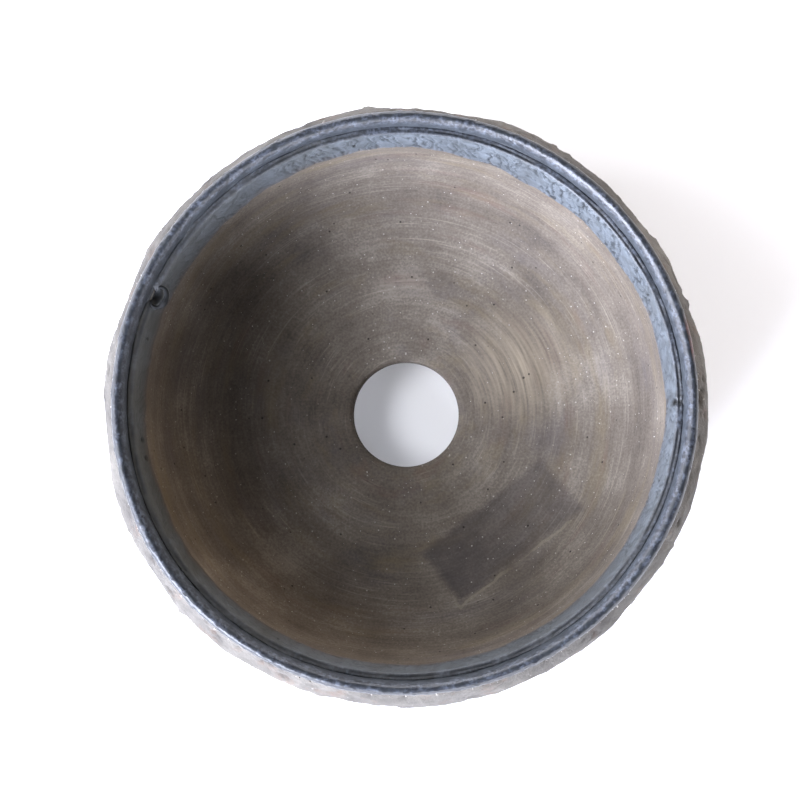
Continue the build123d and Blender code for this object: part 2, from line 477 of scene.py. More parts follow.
def makeRimGlaze():
    d = rimGlaze
    material, tree, shader = newMaterial("blueBlackGlaze")
    place = addNode(tree, "ShaderNodeTexCoord").outputs["Object"]
    # how far each of these shows at a point, 0 to 1, is worked out where the glaze is shaped
    worn = {}
    for name in ("wrinkled", "foldShadeAndMarks", "crest", "thin", "hollowShade", "olive", "rust"):
        worn[name] = addNode(tree, "ShaderNodeAttribute", attribute_name=name).outputs["Fac"]
    inputs = {"Vector": place, "Scale": 1 / d["mottleSize"], "Detail": 4.0, "Roughness": 0.62}
    mottle = addNode(tree, "ShaderNodeTexNoise", inputs)
    inputs = {"Vector": place, "Scale": 1 / d["fleckSize"], "Detail": 2.0, "Roughness": 0.62}
    fleck = addNode(tree, "ShaderNodeTexNoise", inputs)

    # the thick glaze of the lip breaks paler along its crest, in flecks
    crest = addNode(tree, "ShaderNodeMapRange", {0: mottle, 1: 0.36, 2: 0.60, 3: 0.25, 4: 1.0})
    crest = addNode(tree, "ShaderNodeMath", {0: crest, 1: worn["crest"]}, operation="MULTIPLY")
    broken = addNode(tree, "ShaderNodeMapRange", {0: fleck, 1: 0.40, 2: 0.62, 3: 0.0, 4: 1.0})
    crest = addNode(tree, "ShaderNodeMath", {0: crest, 1: broken}, operation="MULTIPLY")
    inputs = {0: crest, 6: linear(d["thick"]), 7: linear(d["crest"])}
    colour = addNode(tree, "ShaderNodeMix", inputs, data_type="RGBA")
    # on the wall it is grey-blue, in soft patches
    share = addNode(tree, "ShaderNodeMapRange", {0: mottle, 1: 0.38, 2: 0.66, 3: 0.0, 4: 1.0})
    inputs = {0: share, 6: linear(d["wrinkled"]), 7: linear(d["pale"])}
    wall = addNode(tree, "ShaderNodeMix", inputs, data_type="RGBA")
    colour = addNode(tree, "ShaderNodeMix", {0: worn["wrinkled"], 6: colour, 7: wall}, data_type="RGBA")
    # olive glaze, then painted shade in the folds (real dark marks on the lip) and in the hollows
    for name in ("olive", "foldShadeAndMarks", "hollowShade"):
        inputs = {0: worn[name], 6: colour, 7: linear(d[name])}
        colour = addNode(tree, "ShaderNodeMix", inputs, data_type="RGBA")
    # thin edges and rust, both in flecks
    for name in ("thin", "rust"):
        share = addNode(tree, "ShaderNodeMapRange", {0: fleck, 1: 0.35, 2: 0.6, 3: 0.45, 4: 1.0})
        share = addNode(tree, "ShaderNodeMath", {0: share, 1: worn[name]}, operation="MULTIPLY")
        colour = addNode(tree, "ShaderNodeMix", {0: share, 6: colour, 7: linear(d[name])}, data_type="RGBA")
    tree.links.new(colour.outputs[2], shader.inputs["Base Color"])

    matt = addNode(tree, "ShaderNodeMapRange", {0: worn["wrinkled"], 1: 0.0, 2: 1.0, 3: 0.28, 4: 0.46})
    matt = addNode(tree, "ShaderNodeMath", {0: mottle, 1: 0.22, 2: matt}, operation="MULTIPLY_ADD")
    matt = addNode(tree, "ShaderNodeMath", {0: worn["olive"], 1: 0.3, 2: matt}, operation="MULTIPLY_ADD")
    tree.links.new(matt.outputs[0], shader.inputs["Roughness"])
    relief = addNode(tree, "ShaderNodeMath", {0: mottle, 1: 1.5, 2: fleck}, operation="MULTIPLY_ADD")
    bump = addNode(tree, "ShaderNodeBump", {"Height": relief, "Strength": 0.7, "Distance": 0.12 * mm})
    tree.links.new(bump.outputs[0], shader.inputs["Normal"])
    shader.inputs["IOR"].default_value = 1.5
    shader.inputs["Specular IOR Level"].default_value = 0.42
    return material


def claySection():
    # The section of the bowl as one closed walk: out along the underside, up the side, over the top,
    # down the inside and through the drain hole, softened at its corners. The shoulder is the arc that
    # leaves the belly upright and reaches the wall's top: radius = (inset^2 + rise^2) / (2 inset).
    b, rows = bowl, bowl["rows"]
    inset = b["bellyRadius"] - b["topOuter"]
    rise = b["wallTop"] - b["bellyHeight"]
    shoulder = (inset**2 + rise**2) / (2 * inset)
    lean = math.degrees(math.atan2(rise, shoulder - inset))
    belly, under, floor = b["bellyHeight"], b["underside"], b["floorHeight"]
    sideRadii = (b["bellyRadius"] - b["baseRadius"], belly - under)
    innerRadii = (b["bellyInner"] - b["floorRadius"], belly - floor)
    drainTop, drainFoot = (b["drainRadius"], b["drainTop"]), (b["drainRadius"], under)
    # the inner edge is a little rounder than the template, so that the glaze covers it
    corner = (b["topInner"] + 0.4 * mm, b["wallTop"] - 0.3 * mm)
    stretches = {
        "under": line(drainFoot, (b["baseRadius"], under), rows["under"]),
        "side": arc((b["baseRadius"], belly), sideRadii, -90, 0, rows["side"]),
        "shoulder": arc(
            (b["bellyRadius"] - shoulder, belly), (shoulder, shoulder), 0, lean, rows["shoulder"]
        ),
        "top": line((b["topOuter"], b["wallTop"]), corner, rows["top"]),
        "upper": line(corner, (b["bellyInner"], belly), rows["upper"]),
        "inner": arc((b["floorRadius"], belly), innerRadii, 0, -90, rows["inner"]),
        "floor": line((b["floorRadius"], floor), drainTop, rows["floor"]),
        "drain": line(drainTop, drainFoot, rows["drain"]),
    }
    names = np.concatenate([[name] * len(points) for name, points in stretches.items()])
    return softened(np.concatenate(list(stretches.values())), 2), names


# The carved outside: flat cuts all over, torn grit, pits, and torn flakes that stand proud.
carving = {
    "cutRows": 6,
    "cutsRound": 30,
    "cutDepth": (0.10 * mm, 0.72 * mm),
    "tilt": 0.06,
    "deepest": 1.1 * mm,
    "roughness": 0.17 * mm,
    "pitSize": 3.0 * mm,
    "pitDepth": 0.60 * mm,
    # angle in degrees, height, width round the pot in degrees, how far it stands out
    "flakes": (
        (97, 51, 2.6, 0.9), (60, 50, 1.2, 0.8), (57, 54, 0.9, 0.7), (20, 51, 1.3, 0.9),
        (-21, 49, 1.0, 0.8), (-28, 52, 1.2, 0.9), (-137, 51, 1.4, 0.8), (152, 47, 1.6, 0.7),
        (-75, 46, 1.8, 0.7), (118, 40, 1.5, 0.8), (-110, 36, 1.8, 0.8), (5, 38, 1.6, 0.8),
        (40, 31, 2.0, 0.9), (-50, 30, 1.8, 0.7), (178, 33, 1.6, 0.8),
    ),
    # smaller ones, anywhere on the wall: how many, the least of each value above, and how much more
    "scattered": 46,
    "scatteredLeast": (0, 13, 0.5, 0.25),
    "scatteredMore": (360, 42, 1.2, 0.35),
}


def carvedRelief(grid, normal, share):
    # Each cut is a plane a little inside the surface; the surface drops to whichever plane is lowest.
    # Then noise roughens it, pits and drag marks are noise above a threshold, and a flake is a product
    # of two smooth steps, across it and up it.
    c = carving
    rng = np.random.default_rng(41)
    turns, levels = np.meshgrid(np.arange(c["cutsRound"]), np.arange(c["cutRows"]))
    turns = (turns + 0.5 * (levels % 2) + rng.uniform(-0.35, 0.35, turns.shape)) * 360 / c["cutsRound"]
    levels = (levels + 0.5 + rng.uniform(-0.3, 0.3, levels.shape)) / c["cutRows"]
    rows, columns = grid.shape[:2]
    i = np.clip((levels * rows).astype(int), 0, rows - 1).ravel()
    j = (turns.ravel() / 360 * columns).astype(int) % columns
    cutNormal = normal[i, j] + rng.normal(0, c["tilt"], (i.size, 3))
    cutNormal /= np.linalg.norm(cutNormal, axis=1, keepdims=True)
    level = np.sum(cutNormal * grid[i, j], 1) - rng.uniform(*c["cutDepth"], i.size)
    room = level - grid @ cutNormal.T
    facing = normal @ cutNormal.T
    drop = np.where(facing > 0.5, room / np.maximum(facing, 0.5), 1.0).min(-1)
    drop = np.clip(drop, -c["deepest"], 0)

    stretched = grid * (1, 1, 1.6)
    rough = cloud(stretched, 2.4 * mm, 5) * c["roughness"] + cloud(grid, 9 * mm, 11) * 0.12 * mm
    pits = step(0.62, 0.95, cloud(stretched, c["pitSize"], 23, 2))
    drag = step(0.45, 0.9, cloud(grid * (1, 1, 0.35), 2.2 * mm, 31, 2)) * 0.2 * mm
    relief = drop + rough - pits * c["pitDepth"] - drag
    angle = np.degrees(np.arctan2(grid[..., 1], grid[..., 0]))
    chance = rng.uniform(0, 1, (c["scattered"], 4)) * c["scatteredMore"] + c["scatteredLeast"]
    for turn, height, width, proud in (*c["flakes"], *chance):
        away = turned(angle, turn)
        upwards = grid[..., 2] / mm - height + 0.5 * away
        shape = step(width, 0.2 * width, np.abs(away)) * step(2.6, 0.3, np.abs(upwards))
        relief += shape * proud * mm * (0.7 + 0.5 * lumps(grid, 1.3 * mm, 77))
    # the second value is how deep the point lies in the cuts, pits and drag marks, used as painted shade
    return relief * share, np.clip(pits + drag / (0.4 * mm) - drop / (2.4 * mm), 0, 1.5) * share


# Throwing rings inside: the spiral left by the fingers, and single ridges where they slipped.
throwing = {
    "spacing": 4.6 * mm,
    "height": 0.20 * mm,
    "sway": 0.30 * mm,
    # from and to angle in degrees, radius at each end, height, width
    "ridges": (
        (88, 18, 52.5 * mm, 46.0 * mm, 0.30 * mm, 1.3 * mm),
        (60, -10, 61 * mm, 64 * mm, 0.16 * mm, 1.2 * mm),
        (-30, -80, 57 * mm, 60 * mm, 0.20 * mm, 1.5 * mm),
        (200, 130, 50 * mm, 55 * mm, 0.14 * mm, 1.6 * mm),
    ),
}


def thrownRelief(grid, along):
    # Noise along the section that moves on by one ring in each turn and changes slowly round the pot,
    # so that no two rings are alike. A ridge is a bell across a line of changing radius.
    t = throwing
    theta = np.arctan2(grid[..., 1], grid[..., 0])
    place = along[:, None] / t["spacing"] + theta / (2 * math.pi)
    rings = lumps(np.stack((place, 1.1 * np.cos(theta), 1.1 * np.sin(theta)), -1), 1.0, 3)
    place = along[:, None] / mm + 0 * theta
    fine = lumps(np.stack((place, 2 * np.cos(theta), 2 * np.sin(theta)), -1), 0.9, 9)
    relief = rings * t["height"] + fine * 0.025 * mm + cloud(grid, 34 * mm, 7, 2) * t["sway"]
    radius = np.hypot(grid[..., 0], grid[..., 1])
    for start, end, near, far, height, width in t["ridges"]:
        share = turned(np.degrees(theta), (start + end) / 2) / (start - end)
        middle = (near + far) / 2 + share * (near - far)
        relief += height * bell(radius, middle, width) * step(0.5, 0.3, np.abs(share))
    return relief


def makeBowl(inside, outside):
    # The section carried round the axis; every point then moves out along its normal by the relief,
    # which fades to nothing at both ends of the carved and of the thrown stretch.
    section, names = claySection()
    grid = turnedSurface(section[:, 0], section[:, 1], bowl["columns"])
    normal = normalsOf(grid)
    along = np.concatenate(([0], np.cumsum(np.linalg.norm(np.diff(section, axis=0), axis=1))))
    carved = np.isin(names, ("side", "shoulder"))
    thrown = np.isin(names, ("upper", "inner", "floor"))
    relief = np.zeros(grid.shape[:2])
    # how deep each carved point lies, kept as an amount of painted shade for the clay's colour
    recessShade = np.zeros(grid.shape[:2])
    place = along[carved]
    fade = step(0, 6 * mm, place - place[0]) * step(0, 2.5 * mm, place[-1] - place)
    relief[carved], recessShade[carved] = carvedRelief(grid[carved], normal[carved], fade[:, None])
    place = along[thrown]
    fade = step(0, 14 * mm, place - place[0]) * step(0, 6 * mm, place[-1] - place)
    relief[thrown] = thrownRelief(grid[thrown], place) * fade[:, None]
    under = names == "under"
    relief[under] = cloud(grid[under], 6 * mm, 15, 2) * 0.05 * mm
    grid = outOfRound(grid + normal * relief[..., None])
    faces = ringFaces(*grid.shape[:2])
    slots = np.where(np.isin(names, ("under", "side", "shoulder", "top")), 1, 0)
    slots = np.broadcast_to(slots[:, None], grid.shape[:2])
    clays = (inside, outside)
    piece = makePiece("bowl", grid, faces.reshape(-1, 4), clays, slots, {"recessShade": recessShade})
    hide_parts("pot_body")
    return grid, names


insideClay = makeThrownClay()
outsideClay = makeCarvedClay()
glaze = makeRimGlaze()
bowlGrid, bowlNames = makeBowl(insideClay, outsideClay)


def clayInside(height):
    # Radius of the inner wall at a height: the inner curve up to the belly, then the straight top.
    b = bowl
    depth = np.clip((b["bellyHeight"] - height) / (b["bellyHeight"] - b["floorHeight"]), 0, 1)
    curve = b["floorRadius"] + (b["bellyInner"] - b["floorRadius"]) * np.sqrt(1 - depth**2)
    above = np.clip((height - b["bellyHeight"]) / (b["wallTop"] - b["bellyHeight"]), 0, 1)
    return curve + (b["topInner"] - b["bellyInner"]) * above


# The glaze inside: a wrinkled band that crawled while it melted, with a lower edge in drips and
# scallops, and a ledge with two grooves where the coil of the lip was pressed on.
band = {
    "thickness": 0.42 * mm,
    "edgeRoll": 0.14 * mm,          # extra thickness where the lower edge rolled up
    "depth": 12.0 * mm,             # from the top of the wall to the lower edge
    "scallop": 1.4 * mm,
    # angle in degrees, width in degrees, how much lower the edge hangs there
    "drips": (
        (62, 14, 4.0), (35, 8, 2.5), (3, 9, -1.0), (95, 9, -2.0),
        (140, 16, 2.0), (-60, 20, 0.8), (-150, 14, 1.4),
    ),
    "wrinkleSize": 1.25 * mm,
    "wrinkleLength": 7.0 * mm,
    "wrinkleSlant": 0.24,           # how far a wrinkle leans round the pot for each unit up the wall
    "wrinkleDepth": 0.30 * mm,
    # angle in degrees and width in degrees of the stretch where it wrinkled most
    "wrinkledMost": (48, 58),
    # angle, depth below the wall's top, radius, depth of the hole: bubbles that burst and pinholes
    "pits": (
        (0, 1.9, 1.0, 0.7), (166, 4.5, 0.4, 0.5), (-172, 5.5, 0.6, 0.7), (-168, 6.5, 0.6, 0.7),
        (24, 4.0, 0.3, 0.4), (-17, 5.0, 0.3, 0.4), (101, 5.5, 0.35, 0.4), (-118, 4.0, 0.35, 0.4),
    ),
    # a large bubble that burst: it stands out from the wall, open at the top
    "blister": {"turn": 157, "depth": 2.4, "wide": 2.7, "high": 2.4, "proud": 1.1},
    "ledge": 2.4 * mm,              # how far it reaches over the top of the wall
    # distance from the wall's inner edge, width and depth of each groove in the ledge
    "grooves": ((0.50, 0.42, 0.24), (1.62, 0.22, 0.36)),
    # angle and width in degrees of the stretch where the glaze ran over them
    "grooveFilled": (95, 4.5),
    # angle and width in degrees of the stretch where it is thin and olive, on the side in shade, partly
    # painted shade
    "thinAndShaded": (196, 66),
    "columns": 1320,
    "rows": {"face": 48, "ledge": 16, "hidden": 10},    # the hidden ones lie against the clay
}


def pitShape(across, up, radius):
    # A round hole with a raised rim: a bell downwards within the radius and a smaller one upwards just
    # outside it; the second value is how much painted shade darkens the hole.
    away = np.hypot(across, up) / radius
    return -bell(away, 0, 0.75) + 0.25 * bell(away, 1.45, 0.4), 1.6 * bell(away, 0, 0.8)


def makeBand(material):
    # The face follows the inner wall from its scalloped lower edge up, then turns out along the ledge.
    # Its thickness is even, less a ridged noise for the folds, which run steeply up the wall.
    b, rows = band, band["rows"]
    theta = np.arange(b["columns"]) * 2 * math.pi / b["columns"]
    angle = np.degrees(theta)
    ring = np.stack((np.cos(theta), np.sin(theta), 0 * theta), -1) * bowl["topInner"]
    lower = b["depth"] + b["scallop"] * cloud(ring, 8 * mm, 51)
    for turn, width, hang in b["drips"]:
        lower = lower + hang * mm * bell(turned(angle, turn), 0, width)
    share = np.linspace(0, 1, rows["face"])[:, None]
    height = bowl["wallTop"] - lower * (1 - share)
    radius = clayInside(height)
    ledgeEnd = (bowl["topInner"] + b["ledge"], bowl["wallTop"])
    ledge = line((bowl["topInner"], bowl["wallTop"]), ledgeEnd, rows["ledge"])
    ledge = ledge[1:, :, None] + 0 * theta
    radius = np.concatenate((radius, ledge[:, 0]))
    height = np.concatenate((height, ledge[:, 1]))
    section = softened(np.stack((radius, height), -1), 4, closed=False)
    outer = turnedSurface(section[..., 0], section[..., 1], b["columns"])
    normal = -normalsOf(outer)
    normal[0], normal[-1] = normal[1], normal[-2]

    depth = bowl["wallTop"] - outer[..., 2]
    fromEdge = np.clip(lower - depth, 0, None)
    amount = 0.30 + 0.70 * bell(turned(angle, b["wrinkledMost"][0]), 0, b["wrinkledMost"][1])
    amount = amount * (0.75 + 0.35 * cloud(ring, 11 * mm, 57, 2))
    slanted = theta + b["wrinkleSlant"] * depth / bowl["topInner"] + 0.016 * cloud(outer, 3.2 * mm, 61, 2)
    wound = np.stack((np.cos(slanted), np.sin(slanted), 0 * depth), -1) * bowl["topInner"]
    wound = wound / b["wrinkleSize"]
    wound[..., 2] = depth / b["wrinkleLength"]
    crawled = step(0.3 * mm, 1.4 * mm, fromEdge) * step(0.1 * mm, 0.8 * mm, depth)
    crease = step(0.20, 0.02, np.abs(cloud(wound, 1.0, 67, 2))) * crawled
    # where the folds lie: it sinks them and paints shade in them
    foldShadeAndMarks = np.clip(crease * amount * 1.25, 0, 1)
    rolled = np.sqrt(np.clip(1 - (1 - np.clip(fromEdge / (0.7 * mm), 0, 1)) ** 2, 0, 1))
    swelling = b["edgeRoll"] * bell(fromEdge, 0.9 * mm, 0.8 * mm)
    thick = (b["thickness"] + swelling) * rolled - 0.12 * mm * (1 - rolled)
    plateau = 0.16 * mm * (1 - crease) * crawled * amount
    thick = thick + plateau - foldShadeAndMarks * b["wrinkleDepth"] + 0.10 * mm * cloud(outer, 4 * mm, 71, 2) * rolled

    # the grooves of the ledge, which the glaze filled in one place, with painted shade in them
    across = np.hypot(outer[..., 0], outer[..., 1]) - bowl["topInner"]
    free = 1 - bell(turned(angle, b["grooveFilled"][0]), 0, b["grooveFilled"][1])
    hollowShade = 0
    for number, (middle, width, deep) in enumerate(b["grooves"]):
        clear = free * np.clip(0.75 + 0.9 * cloud(ring, 5 * mm, 73 + number, 3), 0.05, 1.1)
        swing = middle * mm + 0.16 * mm * cloud(ring, 12 * mm, 75 + number)
        groove = bell(across, swing, width * mm) * clear * step(0.6 * mm, 0.1 * mm, depth)
        thick = thick - groove * deep * mm
        hollowShade = hollowShade + 0.66 * groove
    # the pits are drawn out down the wall, where the glaze ran, and darkened with painted shade
    for turn, drop, size, deep in b["pits"]:
        beside = turned(angle, turn) * degree * bowl["topInner"]
        hole, dark = pitShape(beside, (depth - drop * mm) / 2.4, size * mm)
        thick = thick + hole * deep * mm
        hollowShade = hollowShade + dark
    # the burst blister, with painted shade in its open mouth and in the dip behind it
    r = b["blister"]
    beside = turned(angle, r["turn"]) * degree * bowl["topInner"] / (r["wide"] * mm)
    below = (depth - r["depth"] * mm) / (r["high"] * mm)
    swollen = bell(np.hypot(beside, below), 0, 0.75)
    mouth = bell(np.hypot(beside * 1.7, (below + 0.75) * 1.5), 0, 0.8)
    swollen = swollen * step(0.2 * mm, 1.4 * mm, depth)
    behind = bell(np.hypot(beside, (across - 0.9 * mm) / (1.1 * mm)), 0, 0.8)
    thick = thick + (swollen - mouth) * r["proud"] * mm - behind * 0.7 * mm
    hollowShade = hollowShade + mouth + behind
    # olive round the side in shade, partly thin glaze and partly painted shade, and a weaker patch further
    # round
    olive = bell(turned(angle, b["thinAndShaded"][0]), 0, b["thinAndShaded"][1]) + 0.25 * cloud(ring, 7 * mm, 79)
    olive = np.clip(np.maximum(olive, 0.5 * bell(turned(angle, -50), 0, 40)), 0, 1)
    face = outer + normal * thick[..., None]
    every = len(outer) // rows["hidden"]
    back = outer[::-every] - normal[::-every] * 0.5 * mm
    grid = outOfRound(np.concatenate((face, back)))
    blend = 3.4 - 1.8 * amount + 2.5 * olive
    shown = {
        "wrinkled": step(-0.1 * mm, 0.5 * mm, depth) * (0.75 + 0.25 * amount),
        "foldShadeAndMarks": 0.85 * foldShadeAndMarks,
        "crest": step(0.6 * mm, 0, depth),
        "olive": 0.85 * olive,
        "thin": 0.9 * (1 - step(0, blend * mm, fromEdge)) ** 1.5,
        "hollowShade": np.clip(hollowShade, 0, 1),
    }
    pad = np.zeros(back.shape[:2])
    values = {key: np.concatenate((value + 0 * depth, pad)) for key, value in shown.items()}
    faces = ringFaces(*grid.shape[:2]).reshape(-1, 4)[:, ::-1]
    piece = makePiece("glaze_band", grid, faces, (material,), values=values)
    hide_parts("rim_glaze")


# The glaze over the lip: thick and dark, broken by flecks along its crest, thin at its outer edge, where
# it ran a little way down the shoulder. The section is measured from the wall's outer top corner.
lip = {
    "section": (
        (-3.3, -0.3), (-2.75, 0.2), (-2.5, 1.1), (-2.1, 2.2), (-1.5, 3.05),
        (-0.85, 3.55), (-0.25, 3.6), (0.2, 3.4), (0.55, 3.0), (0.8, 2.4),
        (0.92, 1.6), (0.95, 0.8), (0.98, -0.1), (1.05, -1.0), (1.2, -1.7),
    ),
    "drop": 0.45 * mm,              # how much the outer edge goes up and down
    "waver": 0.14 * mm,             # how much the thickness changes round the lip
    "orangePeel": 0.05 * mm,        # small unevenness that breaks up the shine
    "bead": 0.16 * mm,              # drops that gathered low on the outside
    "columns": 1024,
    "rows": {"face": 76, "hidden": 12},
}


def splined(points, count):
    # A Catmull-Rom curve through the points: each stretch bends to the slope between its neighbours.
    p = np.concatenate((2 * points[:1] - points[1:2], points, 2 * points[-1:] - points[-2:-1]))
    t = np.linspace(0, len(points) - 1 - 1e-9, count)
    k, f = t.astype(int), (t % 1)[:, None]
    a, b, c, e = p[k], p[k + 1], p[k + 2], p[k + 3]
    return b + f * (c - a) / 2 + f**2 * (a - 2.5 * b + 2 * c - e / 2) + f**3 * (1.5 * (b - c) + (e - a) / 2)


def makeLip(material, clay):
    # One curve, walked as far as the edge of the glaze reaches at each angle, and carried round the
    # axis; noise makes it thicker and thinner, and a quarter circle rounds its outer edge.
    d, rows = lip, lip["rows"]
    corner = np.array((bowl["topOuter"], bowl["wallTop"]))
    theta = np.arange(d["columns"]) * 2 * math.pi / d["columns"]
    ring = np.stack((np.cos(theta), np.sin(theta), 0 * theta), -1) * bowl["topOuter"]
    curve = corner + splined(np.array(d["section"]), 400) * mm
    walked = np.concatenate(([0], np.cumsum(np.linalg.norm(np.diff(curve, axis=0), axis=1))))
    end = walked[-1] + d["drop"] * (cloud(ring, 5 * mm, 83) - 0.9)
    place = end * np.linspace(0, 1, rows["face"])[:, None]
    radius = np.interp(place, walked, curve[:, 0])
    height = np.interp(place, walked, curve[:, 1])
    outer = turnedSurface(radius, height, d["columns"])
    normal = -normalsOf(outer)
    normal[0], normal[-1] = normal[1], normal[-2]
    fromEdge = end - place
    above = (height - bowl["wallTop"]) / (3.75 * mm)
    rolled = np.sqrt(np.clip(1 - (1 - np.clip(fromEdge / (0.7 * mm), 0, 1)) ** 2, 0, 1))
    thick = -0.45 * mm * (1 - rolled) + d["waver"] * cloud(outer, 9 * mm, 87, 2) * step(0, 0.3, above)
    uneven = 0.05 * mm * cloud(outer, 3.5 * mm, 91) + d["orangePeel"] * cloud(outer, 1.1 * mm, 95, 2)
    thick = thick + uneven * rolled
    lowOutside = step(-0.2, 0.3, (radius - bowl["topOuter"]) / mm) * step(0.1 * mm, 0.6 * mm, fromEdge)
    thick = thick + d["bead"] * step(0.45, 0.8, cloud(outer, 1.2 * mm, 97, 2)) * lowOutside
    face = outer + normal * thick[..., None]
    every = len(outer) // rows["hidden"]
    back = outer[::-every] - normal[::-every] * 0.6 * mm
    grid = outOfRound(np.concatenate((face, back)))
    thin = (1 - step(0.1 * mm, 1.0 * mm, fromEdge)) * np.clip(0.5 + cloud(outer, 5 * mm, 93), 0, 1)
    outward = (radius - bowl["topOuter"]) / mm
    rust = bell(turned(np.degrees(theta), 12), 0, 3.5) * np.clip(0.6 + cloud(outer, 1.5 * mm, 89), 0, 1)
    dulled = bell(turned(np.degrees(theta), 20), 0, 70) * np.clip(0.7 + cloud(ring, 3 * mm, 103), 0, 1)
    marked = np.stack((theta * 48 + 0 * above, 0.8 * outward, 0 * outward), -1)
    marks = step(0.10, 0.55, cloud(marked, 1.0, 99, 3))
    shown = {
        "wrinkled": 0.25 * step(-1.6, -2.2, outward),
        # real dark marks streaked across the lip's upper slope
        "foldShadeAndMarks": 0.9 * marks * step(0.3, 0.7, above) * step(-1.8, -1.2, outward),
        "crest": step(0.25, 0.75, above) * step(0.5, -0.2, outward),
        "thin": thin,
        # painted shade in the joint where the lip meets the ledge
        "hollowShade": 0.5 * step(0.08, -0.05, above) * step(-2.2, -2.6, outward),
        "rust": rust * step(-0.1, 0.3, outward),
        "olive": dulled * step(0.6, 0.95, outward),
    }
    pad = np.zeros(back.shape[:2])
    values = {key: np.concatenate((value, pad)) for key, value in shown.items()}
    faces = ringFaces(*grid.shape[:2]).reshape(-1, 4)[:, ::-1]
    piece = makePiece("glaze_over_lip", grid, faces, (material,), values=values)
    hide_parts("rim_glaze")

    # the clay coil under it, seen only where the glaze stops short
    turn = np.linspace(0, 2 * math.pi, 24, endpoint=False)[:, None]
    middle = (lipHigh.x - 0.95 * mm, lipHigh.z - 2.3 * mm)
    level = np.maximum(middle[1] + 1.3 * mm * np.sin(turn), bowl["wallTop"] - 0.3 * mm)
    coil = outOfRound(turnedSurface(middle[0] + 0.75 * mm * np.cos(turn), level, d["columns"] // 2))
    coilFaces = ringFaces(*coil.shape[:2]).reshape(-1, 4)
    # an even touch of painted shade on the coil
    values = {"recessShade": np.full(coil.shape[:2], 0.2)}
    coilPiece = makePiece("lip_coil", coil, coilFaces, (clay,), values=values)
    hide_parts("lip_ring")


# The edge of the bubble that burst: a horseshoe of glaze, open towards the lip, painted black with shade.
bubble = {
    "turn": 157, "radius": 67.4 * mm, "below": 0.25 * mm, "wide": 2.7 * mm, "deep": 1.75 * mm,
    "opening": 128, "thickness": 0.64 * mm, "hang": 0.6 * mm,
}


def makeBubble(material):
    # A circle that shrinks towards both ends, carried along part of an ellipse that hangs into the pot.
    b = bubble
    along = np.linspace(-1, 1, 72)
    turn = along * b["opening"] * degree
    path = np.stack((-b["deep"] * np.cos(turn), b["wide"] * np.sin(turn), -b["hang"] * np.cos(turn)), 1)
    way = np.gradient(path, axis=0)
    way /= np.linalg.norm(way, axis=1)[:, None]
    side = np.cross(way, (0, 0, 1))
    side /= np.linalg.norm(side, axis=1)[:, None]
    up = np.cross(side, way)
    spin = np.linspace(0, 2 * math.pi, 20, endpoint=False)[:, None]
    size = b["thickness"] * np.sqrt(np.clip(1 - along**8, 0, 1)) * (1 - 0.35 * along**2)
    size = (size * (1 + 0.18 * np.sin(5 * along + 1.0) + 0.10 * np.sin(11 * along)))[:, None, None]
    points = path[:, None] + size * (np.cos(spin) * side[:, None] + 1.25 * np.sin(spin) * up[:, None])
    points = points + (b["radius"], 0, bowl["wallTop"] - b["below"])
    t = b["turn"] * degree
    x, y = points[..., 0].copy(), points[..., 1].copy()
    points[..., 0], points[..., 1] = x * math.cos(t) - y * math.sin(t), x * math.sin(t) + y * math.cos(t)
    faces = ringFaces(len(along), len(spin))[:-1].reshape(-1, 4)[:, ::-1]
    # painted black all over as shade, and dulled
    values = {name: np.ones(points.shape[:2]) for name in ("wrinkled", "olive", "hollowShade")}
    piece = makePiece("burst_bubble", outOfRound(points), faces, (material,), values=values)
    mergeClose(piece)
    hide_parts("rim_glaze")


# Three feet, pressed from coils of the same clay, bent to the circle of the base and smeared on.
feet = {
    "names": ("foot_1", "foot_2", "foot_3"),
    "firstAngle": 90,
    "width": 11 * mm,
    "draft": 8 * degree,
    "smear": 1.6 * mm,              # how far the join spreads over the underside
    "edge": 1.6 * mm,               # rounding towards the table
    "around": 120,
    "levels": 40,
}


